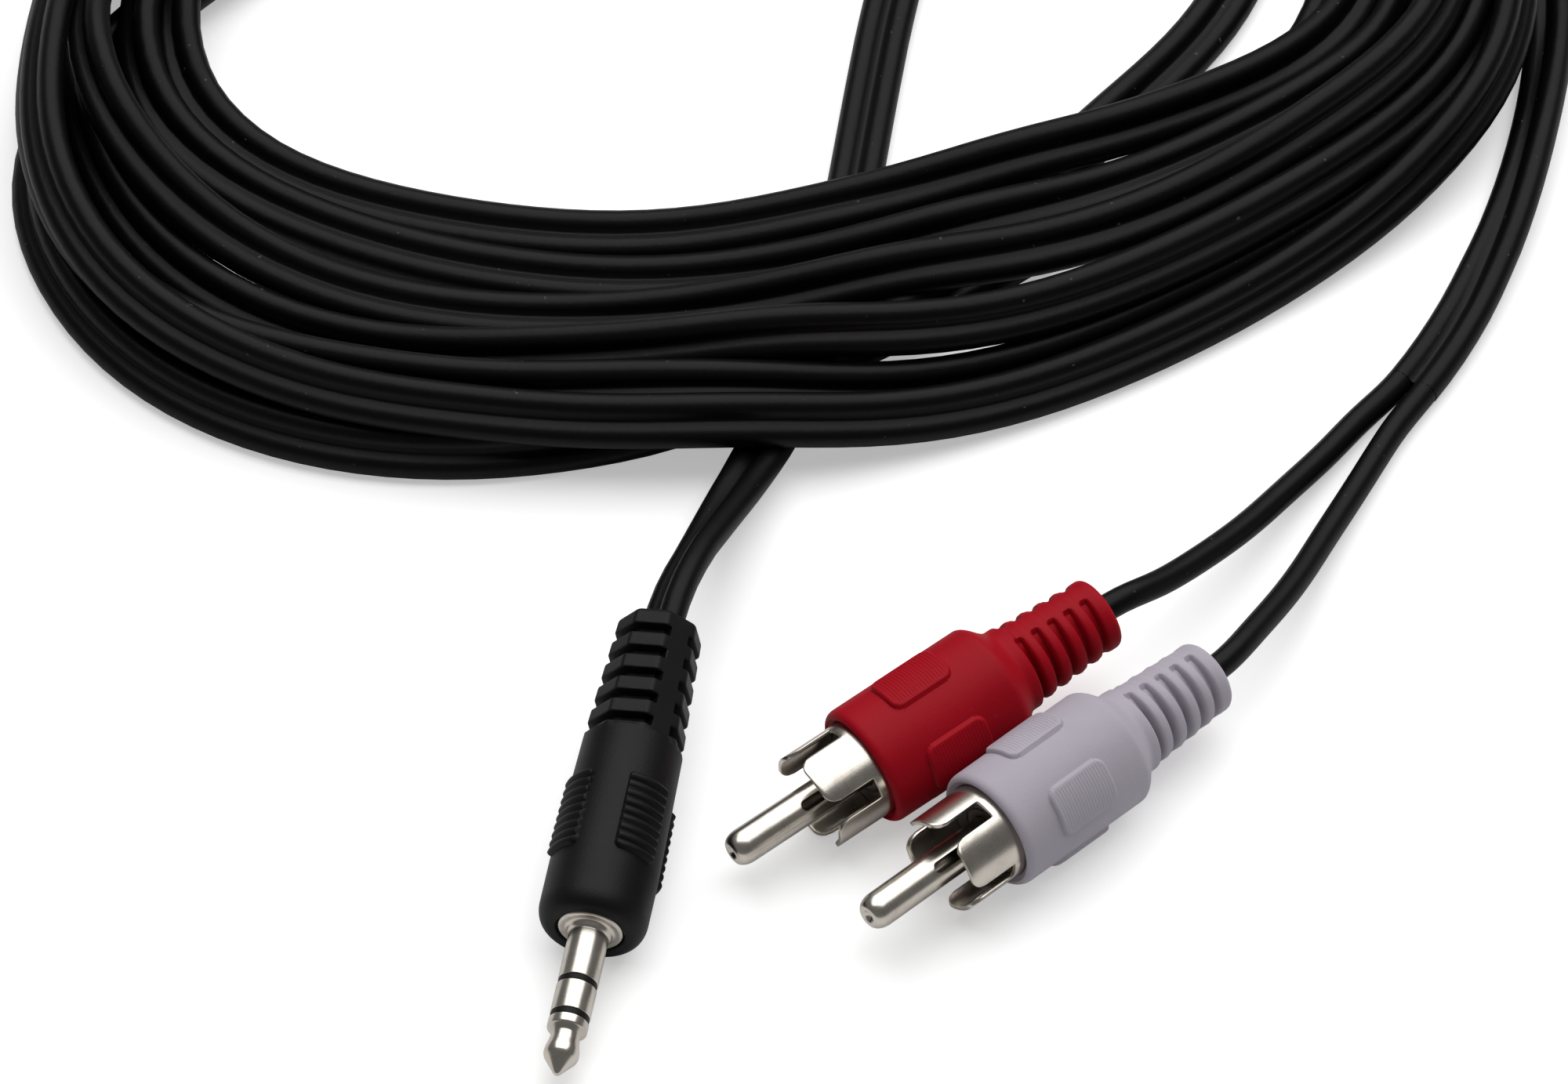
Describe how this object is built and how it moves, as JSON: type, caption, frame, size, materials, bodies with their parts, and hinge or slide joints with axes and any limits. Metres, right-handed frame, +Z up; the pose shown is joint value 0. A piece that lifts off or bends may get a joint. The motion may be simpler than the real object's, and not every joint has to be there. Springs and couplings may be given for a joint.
{
  "type": "audio cable",
  "caption": "Coiled black twin audio cable with a stereo mini jack at one end and a red and a white phono plug at the other.",
  "frame": {"origin": "on the resting surface, below the middle of the box round the three plugs, with the loose cable left out", "axes": "+Z up from the resting surface, +Y from the plugs toward the coiled cable, +X toward the side where the cable parts into the red and white leads"},
  "size_m": [0.1399, 0.1869, 0.0124],
  "materials": {
    "black_boot": "matte moulded plastic",
    "red_boot": "satin moulded plastic",
    "white_boot": "satin moulded plastic",
    "cable_jacket": "semi-matte soft jacket",
    "nickel": "satin nickel plate on brass",
    "dark_insulator": "moulded insulator",
    "inner_mould": "hard inner mould",
    "core_jacket": "thin core insulation",
    "copper": "bare copper strands"
  },
  "bodies": {
    "root": {"jack_boot": "black_boot", "jack_inner_mould": "inner_mould", "jack_sleeve": "nickel", "jack_ring": "nickel", "jack_tip": "nickel", "jack_front_insulator": "dark_insulator", "jack_rear_insulator": "dark_insulator", "jack_left_core": "core_jacket", "jack_right_core": "core_jacket", "jack_screen": "copper", "red_boot": "red_boot", "red_inner_mould": "inner_mould", "red_shell": "nickel", "red_pin": "nickel", "red_insulator": "dark_insulator", "red_core": "core_jacket", "red_screen": "copper", "white_boot": "white_boot", "white_inner_mould": "inner_mould", "white_shell": "nickel", "white_pin": "nickel", "white_insulator": "dark_insulator", "white_core": "core_jacket", "white_screen": "copper", "cable_coil": "cable_jacket", "cable_jack_end": "cable_jacket", "cable_across": "cable_jacket", "cable_plug_end": "cable_jacket", "red_lead": "cable_jacket", "white_lead": "cable_jacket"}
  },
  "joints": []
}
